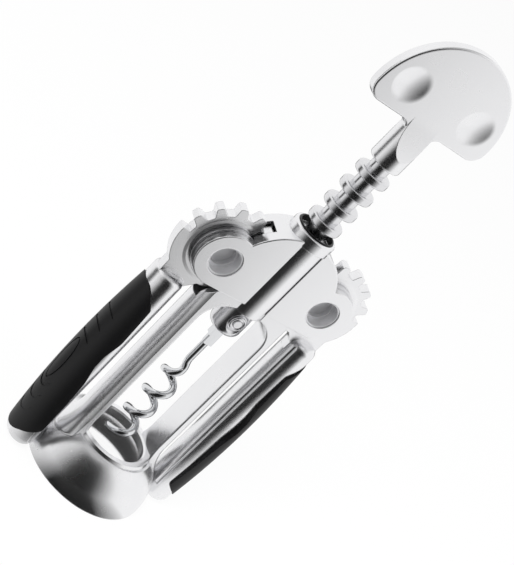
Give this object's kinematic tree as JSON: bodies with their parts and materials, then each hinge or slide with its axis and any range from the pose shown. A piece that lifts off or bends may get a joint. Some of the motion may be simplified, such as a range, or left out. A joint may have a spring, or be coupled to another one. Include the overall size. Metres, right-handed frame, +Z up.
{
  "type": "wing corkscrew",
  "caption": "Wing corkscrew: a geared rack and worm in an arched frame over a bell, with two toothed levers and a turning handle.",
  "frame": {"origin": "centre of the bell's mouth, in the plane that rests on the bottle", "axes": "+Z up the screw, X across the two levers, -Y towards the front"},
  "size_m": [0.0662, 0.042, 0.172],
  "materials": {
    "zinc": "satin plated die casting",
    "steel": "satin turned steel",
    "chrome": "polished",
    "soft_rubber": "soft touch",
    "black_plastic": "matte"
  },
  "bodies": {
    "frame": {"bell": "zinc", "barrel": "zinc", "left_frame_arm": "zinc", "left_ear_housing": "zinc", "left_pivot_pin": "steel", "left_front_washer": "steel", "left_back_washer": "steel", "right_frame_arm": "zinc", "right_ear_housing": "zinc", "right_pivot_pin": "steel", "right_front_washer": "steel", "right_back_washer": "steel"},
    "guide": {"guide_ring": "black_plastic"},
    "screw": {"rack": "steel", "cross_pin": "steel", "worm": "chrome", "handle": "zinc"},
    "left_wing": {"left_lever": "zinc", "left_grip": "soft_rubber"},
    "right_wing": {"right_lever": "zinc", "right_grip": "soft_rubber"}
  },
  "joints": [
    {"name": "screw_turn", "type": "hinge", "parent": "frame", "child": "guide", "pos_m": [0, 0, 0.105], "axis": [0, 0, -1], "continuous": true},
    {"name": "rack_slide", "type": "slide", "parent": "guide", "child": "screw", "axis": [0, 0, -1], "range_m": [0, 0.034]},
    {"name": "left_lever_hinge", "type": "hinge", "parent": "frame", "child": "left_wing", "pos_m": [-0.0184, 0, 0.0863], "axis": [0, 1, 0], "range_deg": [0, 139.2]},
    {"name": "right_lever_hinge", "type": "hinge", "parent": "frame", "child": "right_wing", "pos_m": [0.0184, 0, 0.0863], "axis": [0, -1, 0], "range_deg": [0, 139.2]}
  ],
  "couplings": [
    {"joint": "left_lever_hinge", "follows": "rack_slide", "rad_per_m": 71.429},
    {"joint": "right_lever_hinge", "follows": "rack_slide", "rad_per_m": 71.429}
  ]
}
